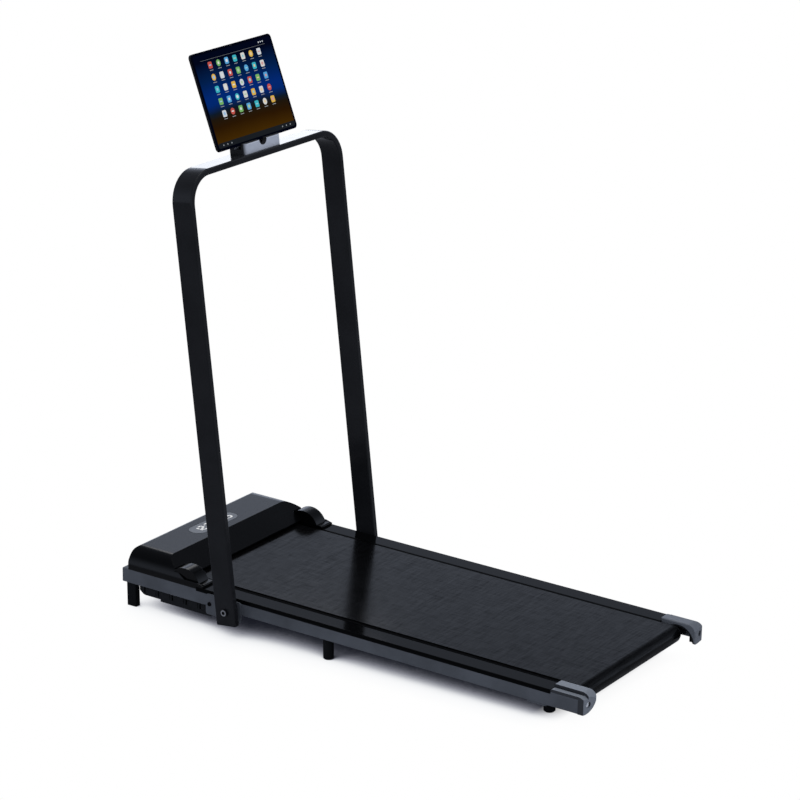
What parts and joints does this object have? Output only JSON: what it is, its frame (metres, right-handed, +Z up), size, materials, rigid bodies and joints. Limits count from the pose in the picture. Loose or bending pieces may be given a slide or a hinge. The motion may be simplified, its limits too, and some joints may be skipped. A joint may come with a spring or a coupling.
{
  "type": "walking pad treadmill",
  "caption": "Low walking pad with a motor hood, foot strips, a folding handrail of flat tube and a tilted device holder with a tablet on its bar.",
  "frame": {"origin": "middle of the object's box, on the floor that its feet stand on", "axes": "+X to the walker's right, +Y forward towards the motor hood, +Z up"},
  "size_m": [0.5496, 1.1919, 1.2349],
  "materials": {
    "frame_steel": "satin dark grey paint",
    "handrail_black": "satin black paint",
    "strip_black": "smooth glossy black",
    "belt_black": "fine short cross-wise texture",
    "hood_black": "satin to glossy black",
    "pan_black": "matt black",
    "cap_grey": "fine matt grey",
    "rubber_black": "matt",
    "bright_steel": "turned or plated",
    "cast_metal": "machined",
    "motor_paint": "black enamel",
    "aluminium": "extruded",
    "circuit_board": "green lacquer",
    "board_wood": "waxed fibreboard",
    "display_lens": "smoked lens",
    "switch_black": "moulded black",
    "tablet_shell": "matt black",
    "tablet_glass": "dark glass over a screen"
  },
  "bodies": {
    "base": {"side_rail_left": "frame_steel", "side_rail_right": "frame_steel", "front_cross_member": "frame_steel", "bay_cross_member": "frame_steel", "mid_cross_member": "frame_steel", "rear_cross_member": "frame_steel", "rear_foot_plates": "frame_steel", "pivot_brackets": "frame_steel", "motor_tray": "frame_steel", "foot_strip_left": "strip_black", "foot_strip_right": "strip_black", "walking_belt": "belt_black", "motor_hood": "hood_black", "wing_cover_left": "hood_black", "wing_cover_right": "hood_black", "motor_pan": "pan_black", "end_cap_left": "cap_grey", "end_cap_right": "cap_grey", "front_foot_left": "rubber_black", "front_foot_right": "rubber_black", "mid_foot_left": "rubber_black", "mid_foot_right": "rubber_black", "rear_foot_left": "rubber_black", "rear_foot_right": "rubber_black", "deck_cushions": "rubber_black", "drive_belt": "rubber_black", "front_roller_axle": "bright_steel", "rear_roller_axle": "bright_steel", "pivot_bolts": "bright_steel", "pivot_nuts": "bright_steel", "bracket_screws": "bright_steel", "pan_screws": "bright_steel", "tension_bolts": "bright_steel", "pivot_bushes": "bright_steel", "front_axle_blocks": "cast_metal", "tension_blocks": "cast_metal", "motor_body": "motor_paint", "motor_saddles": "motor_paint", "heat_sink": "aluminium", "controller_board": "circuit_board", "display_board": "circuit_board", "deck_board": "board_wood", "display_window": "display_lens", "power_inlet": "switch_black", "switch_housing": "switch_black"},
    "handrail": {"handrail_tube": "handrail_black", "leg_plugs": "pan_black", "device_holder": "cap_grey", "holder_screws": "bright_steel"},
    "tablet": {"tablet_case": "tablet_shell", "tablet_glass": "tablet_glass"},
    "front_roller": {"front_roller": "bright_steel", "front_roller_bearings": "bright_steel", "roller_pulley": "cast_metal"},
    "rear_roller": {"rear_roller": "bright_steel", "rear_roller_bearings": "bright_steel"},
    "motor_rotor": {"motor_shaft": "bright_steel", "motor_pulley": "cast_metal", "flywheel": "cast_metal"},
    "power_rocker": {"switch_rocker": "switch_black"}
  },
  "joints": [
    {"name": "handrail_fold", "type": "hinge", "parent": "base", "child": "handrail", "pos_m": [0, 0.29001, 0.06652], "axis": [1, 0, 0], "range_deg": [0, 97]},
    {"name": "tablet_lift", "type": "slide", "parent": "handrail", "child": "tablet", "axis": [0, 0.3425, 0.9395], "range_m": [0, 0.04]},
    {"name": "front_roller_spin", "type": "hinge", "parent": "base", "child": "front_roller", "pos_m": [0, 0.43482, 0.07733], "axis": [1, 0, 0], "continuous": true},
    {"name": "rear_roller_spin", "type": "hinge", "parent": "base", "child": "rear_roller", "pos_m": [0, -0.54748, 0.05761], "axis": [1, 0, 0], "continuous": true},
    {"name": "motor_spin", "type": "hinge", "parent": "base", "child": "motor_rotor", "pos_m": [0, 0.50876, 0.08131], "axis": [1, 0, 0], "continuous": true},
    {"name": "switch_tip", "type": "hinge", "parent": "base", "child": "power_rocker", "pos_m": [0.096, 0.57514, 0.11265], "axis": [1, 0, 0], "range_deg": [0, 16]}
  ],
  "couplings": [
    {"joint": "rear_roller_spin", "follows": "front_roller_spin", "ratio": 1},
    {"joint": "motor_spin", "follows": "front_roller_spin", "ratio": 2.8889}
  ]
}
